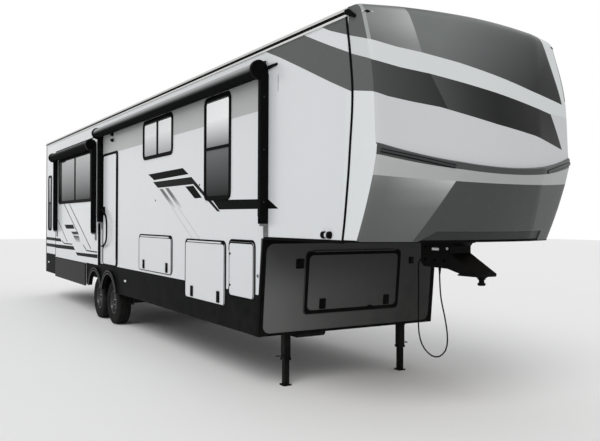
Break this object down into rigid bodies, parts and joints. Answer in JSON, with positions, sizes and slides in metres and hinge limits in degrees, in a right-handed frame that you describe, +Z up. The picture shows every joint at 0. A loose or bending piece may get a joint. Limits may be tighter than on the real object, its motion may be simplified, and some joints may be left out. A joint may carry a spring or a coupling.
{
  "type": "fifth wheel travel trailer",
  "caption": "Long fifth wheel travel trailer with a raised nose cap, slide-out rooms, awnings, hinged doors, free-turning wheels and landing legs.",
  "frame": {"origin": "middle of the part's box, without the cord, on the ground", "axes": "+X along the body towards the nose, +Y to the off side, away from the entry door, +Z up"},
  "size_m": [13.7028, 2.7316, 4.0203],
  "materials": {
    "wall_white": "gloss gelcoat laminate",
    "skirt_black": "semi-gloss dark paint",
    "front_grey": "semi-gloss dark grey paint",
    "nose_silver": "gloss painted moulding with printed bands",
    "roof_white": "matt roof membrane",
    "trim_black": "satin black",
    "frame_black": "black chassis paint",
    "floor_board": "sealed board",
    "window_dark": "tinted glass in a black frame",
    "tyre_rubber": "tread rubber",
    "rim_black": "black painted alloy",
    "bright_steel": "bright steel",
    "cord_black": "rubber cable jacket"
  },
  "bodies": {
    "trailer": {"side_wall_right": "wall_white", "side_wall_left": "wall_white", "rear_wall": "wall_white", "front_wall": "front_grey", "skirt_right": "skirt_black", "skirt_left": "skirt_black", "fender_right": "trim_black", "fender_left": "trim_black", "main_floor": "floor_board", "upper_floor": "floor_board", "storage_floor": "floor_board", "roof": "roof_white", "nose_cap": "nose_silver", "chassis_frame": "frame_black", "underbelly": "skirt_black", "axle_front": "frame_black", "axle_rear": "frame_black", "suspension_right": "frame_black", "suspension_left": "frame_black", "landing_leg_right": "frame_black", "landing_leg_left": "frame_black", "pin_box": "frame_black", "king_pin": "frame_black", "pin_box_cord": "cord_black", "awning_main": "trim_black", "rear_bumper": "frame_black", "rear_ladder": "bright_steel", "air_unit_rear": "roof_white", "air_unit_front": "roof_white", "window_rear_corner": "window_dark", "window_double": "window_dark", "window_tall": "window_dark", "window_off_side": "window_dark"},
    "entry_door": {"entry_door": "wall_white"},
    "bay_door_rear": {"bay_door_rear": "wall_white"},
    "bay_door_middle": {"bay_door_middle": "wall_white"},
    "utility_door": {"utility_door": "wall_white"},
    "bay_door_left": {"bay_door_left": "wall_white"},
    "front_door": {"front_door": "front_grey"},
    "slide_room_right": {"slide_room_right": "wall_white", "window_slide_right": "window_dark", "awning_slide": "trim_black"},
    "slide_room_left": {"slide_room_left": "wall_white", "window_slide_left": "window_dark"},
    "bedroom_room_left": {"bedroom_room_left": "wall_white", "window_bedroom_left": "window_dark"},
    "wheel_front_right": {"tyre_front_right": "tyre_rubber", "rim_front_right": "rim_black"},
    "wheel_front_left": {"tyre_front_left": "tyre_rubber", "rim_front_left": "rim_black"},
    "wheel_rear_right": {"tyre_rear_right": "tyre_rubber", "rim_rear_right": "rim_black"},
    "wheel_rear_left": {"tyre_rear_left": "tyre_rubber", "rim_rear_left": "rim_black"}
  },
  "joints": [
    {"name": "wheel_front_right_spin", "type": "hinge", "parent": "trailer", "child": "wheel_front_right", "pos_m": [-1.19665, -0.9635, 0.3875], "axis": [0, 1, 0], "continuous": true},
    {"name": "wheel_front_left_spin", "type": "hinge", "parent": "trailer", "child": "wheel_front_left", "pos_m": [-1.19665, 1.1565, 0.3875], "axis": [0, 1, 0], "continuous": true},
    {"name": "wheel_rear_right_spin", "type": "hinge", "parent": "trailer", "child": "wheel_rear_right", "pos_m": [-2.11665, -0.9635, 0.3875], "axis": [0, 1, 0], "continuous": true},
    {"name": "wheel_rear_left_spin", "type": "hinge", "parent": "trailer", "child": "wheel_rear_left", "pos_m": [-2.11665, 1.1565, 0.3875], "axis": [0, 1, 0], "continuous": true},
    {"name": "entry_door_swing", "type": "hinge", "parent": "trailer", "child": "entry_door", "pos_m": [-0.81865, -1.1338, 2.033], "axis": [0, 0, 1], "range_deg": [0, 170]},
    {"name": "bay_door_rear_lift", "type": "hinge", "parent": "trailer", "child": "bay_door_rear", "pos_m": [1.12135, -1.1338, 1.6], "axis": [-1, 0, 0], "range_deg": [0, 100]},
    {"name": "bay_door_middle_lift", "type": "hinge", "parent": "trailer", "child": "bay_door_middle", "pos_m": [2.97135, -1.1338, 1.575], "axis": [-1, 0, 0], "range_deg": [0, 100]},
    {"name": "bay_door_left_lift", "type": "hinge", "parent": "trailer", "child": "bay_door_left", "pos_m": [2.97135, 1.3268, 1.575], "axis": [1, 0, 0], "range_deg": [0, 100]},
    {"name": "utility_door_swing", "type": "hinge", "parent": "trailer", "child": "utility_door", "pos_m": [3.71135, -1.1338, 1.2875], "axis": [0, 0, -1], "range_deg": [0, 95]},
    {"name": "front_door_lift", "type": "hinge", "parent": "trailer", "child": "front_door", "pos_m": [4.54768, 0.0965, 1.50503], "axis": [0, -1, 0], "range_deg": [0, 85]},
    {"name": "slide_room_right_extend", "type": "slide", "parent": "trailer", "child": "slide_room_right", "axis": [0, -1, 0], "range_m": [0, 0.82]},
    {"name": "slide_room_left_extend", "type": "slide", "parent": "trailer", "child": "slide_room_left", "axis": [0, 1, 0], "range_m": [0, 0.74]},
    {"name": "bedroom_room_left_extend", "type": "slide", "parent": "trailer", "child": "bedroom_room_left", "axis": [0, 1, 0], "range_m": [0, 0.64]}
  ]
}
